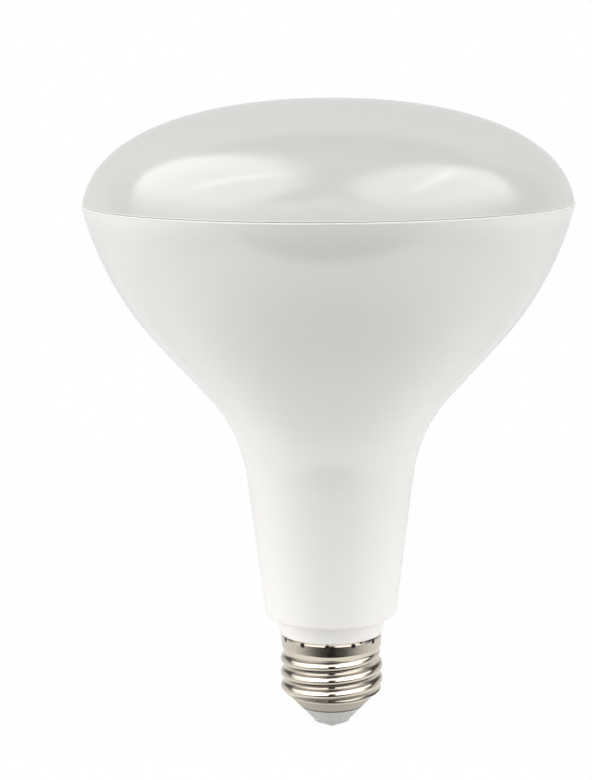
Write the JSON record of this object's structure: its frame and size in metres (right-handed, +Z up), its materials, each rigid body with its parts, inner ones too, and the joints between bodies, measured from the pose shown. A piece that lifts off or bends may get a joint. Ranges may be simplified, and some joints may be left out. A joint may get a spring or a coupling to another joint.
{
  "type": "light bulb",
  "caption": "Reflector light bulb: shallow domed diffuser on a flared white housing that narrows to a neck, with a threaded metal screw base and a centre contact.",
  "frame": {"origin": "on the lamp's axis at the tip of the centre contact", "axes": "+Z up the lamp's axis from the screw base to the diffuser, -Y towards the picture's viewer, +X to the viewer's right"},
  "size_m": [0.1228, 0.1228, 0.1618],
  "materials": {
    "lens_plastic": "satin light-diffusing plastic",
    "housing_plastic": "satin white moulded plastic",
    "shell_nickel": "bright nickel plate on rolled sheet",
    "insulator_plastic": "light grey moulded plastic",
    "contact_nickel": "plain nickel plate"
  },
  "bodies": {
    "root": {"diffuser_lens": "lens_plastic", "housing": "housing_plastic", "screw_shell": "shell_nickel", "insulator": "insulator_plastic", "centre_contact": "contact_nickel"}
  },
  "joints": []
}
